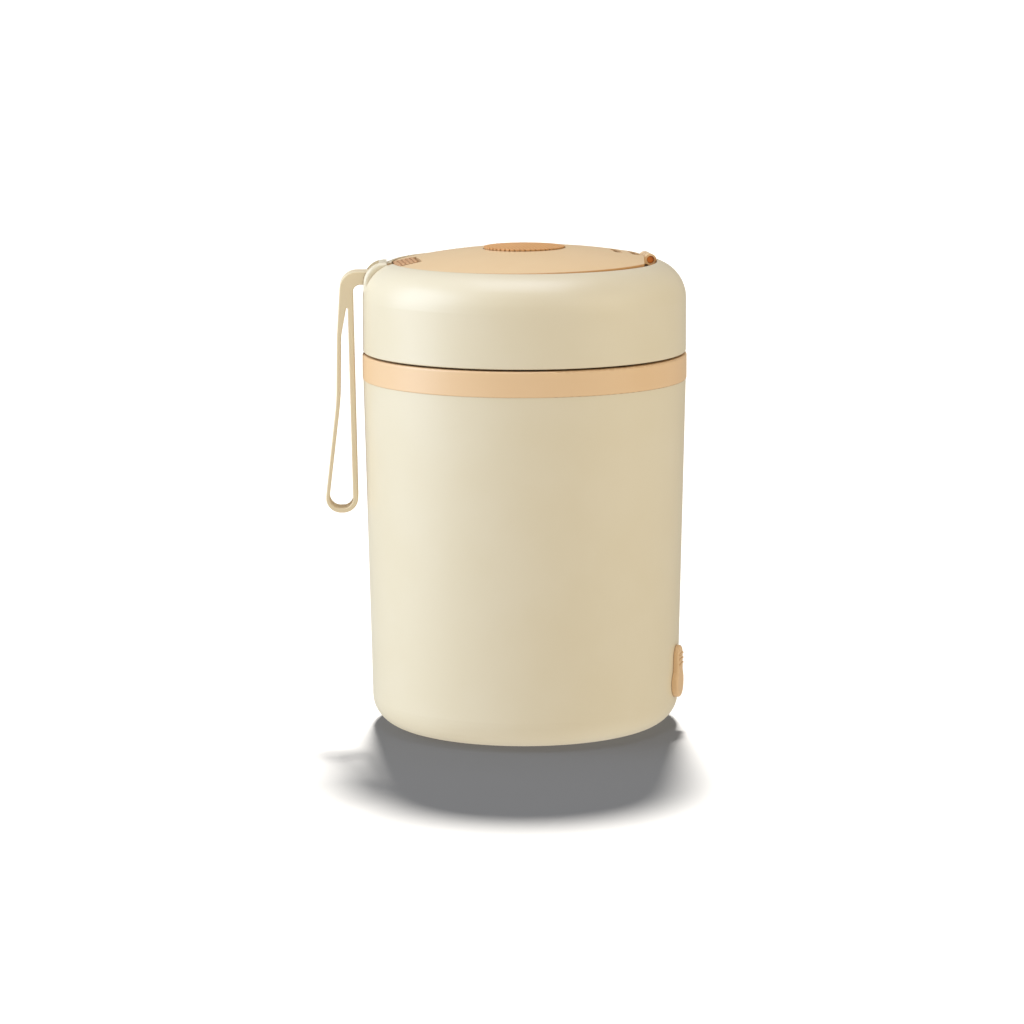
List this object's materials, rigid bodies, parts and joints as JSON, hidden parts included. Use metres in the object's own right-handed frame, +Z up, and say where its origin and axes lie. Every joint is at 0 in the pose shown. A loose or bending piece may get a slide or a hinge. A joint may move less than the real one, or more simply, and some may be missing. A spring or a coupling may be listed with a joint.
{
  "type": "insulated food jar",
  "caption": "Insulated food jar with a screw-on lid, a hinged cover with thumb latch and vent button, a side port plug and a hanging hand strap",
  "frame": {"origin": "centre of the resting face, under the anti-slip pad", "axes": "+Z up along the jar's axis, +X towards the cover's hinge, -X towards its thumb latch, +Y completes the right-handed frame; the hinge pin lies along Y"},
  "size_m": [0.1304, 0.1168, 0.1741],
  "materials": {
    "cream_plastic": "satin moulded",
    "peach_plastic": "satin moulded",
    "accent_plastic": "fine grip texture",
    "accent_silicone": "matt silicone",
    "clear_silicone": "matt silicone",
    "pad_silicone": "matt silicone",
    "steel": "brushed stainless",
    "spring_steel": "bright drawn",
    "foam": "closed-cell foam"
  },
  "bodies": {
    "jar": {"outer_casing": "cream_plastic", "base_pad": "pad_silicone", "collar_ring": "peach_plastic", "food_liner": "steel", "liner_gasket": "clear_silicone", "liner_foot": "cream_plastic", "port_bush": "peach_plastic"},
    "plug": {"port_plug": "accent_silicone"},
    "seal": {"mouth_gasket": "clear_silicone", "seal_carrier": "cream_plastic"},
    "lid": {"lid_shell": "cream_plastic", "inner_lid": "cream_plastic", "lid_insulation": "foam", "strap_lug": "cream_plastic", "strap_pin": "steel", "hinge_bracket": "peach_plastic", "hinge_pin": "accent_plastic"},
    "cover": {"cover_dome": "peach_plastic", "slot_grille": "accent_plastic", "inner_cup": "cream_plastic", "cover_gasket": "clear_silicone", "cover_insulation": "foam", "valve_guide": "cream_plastic", "cover_screws": "steel"},
    "latch": {"latch_tab": "accent_plastic", "latch_spring": "spring_steel"},
    "vent": {"vent_button": "accent_plastic", "valve_stem": "accent_plastic", "valve_disc": "accent_silicone", "stem_clip": "steel", "button_spring": "spring_steel"},
    "strap": {"carry_strap": "accent_silicone"}
  },
  "joints": [
    {"name": "plug_pull", "type": "slide", "parent": "jar", "child": "plug", "axis": [0.9252, -0.3795, 0], "range_m": [0, 0.016]},
    {"name": "lid_rise", "type": "slide", "parent": "jar", "child": "seal", "axis": [0, 0, 1], "range_m": [0, 0.01343]},
    {"name": "lid_turn", "type": "hinge", "parent": "seal", "child": "lid", "pos_m": [0, 0, 0.1493], "axis": [0, 0, 1], "range_deg": [0, 400]},
    {"name": "cover_open", "type": "hinge", "parent": "lid", "child": "cover", "pos_m": [0.045, 0, 0.1688], "axis": [0, 1, 0], "range_deg": [0, 100]},
    {"name": "latch_slide", "type": "slide", "parent": "cover", "child": "latch", "axis": [1, 0, 0], "range_m": [0, 0.0012], "stiffness_N_per_m": 400, "springref_m": -0.003, "deforming": ["latch_spring"]},
    {"name": "vent_press", "type": "slide", "parent": "cover", "child": "vent", "axis": [0, 0, -1], "range_m": [0, 0.0018], "stiffness_N_per_m": 500, "springref_m": -0.003, "deforming": ["button_spring"]},
    {"name": "strap_swing", "type": "hinge", "parent": "lid", "child": "strap", "pos_m": [-0.05459, 0.0067, 0.16315], "axis": [0.1219, 0.9925, 0], "range_deg": [0, 90]}
  ],
  "couplings": [
    {"joint": "lid_rise", "follows": "lid_turn", "m_per_rad": 0.0019099}
  ]
}
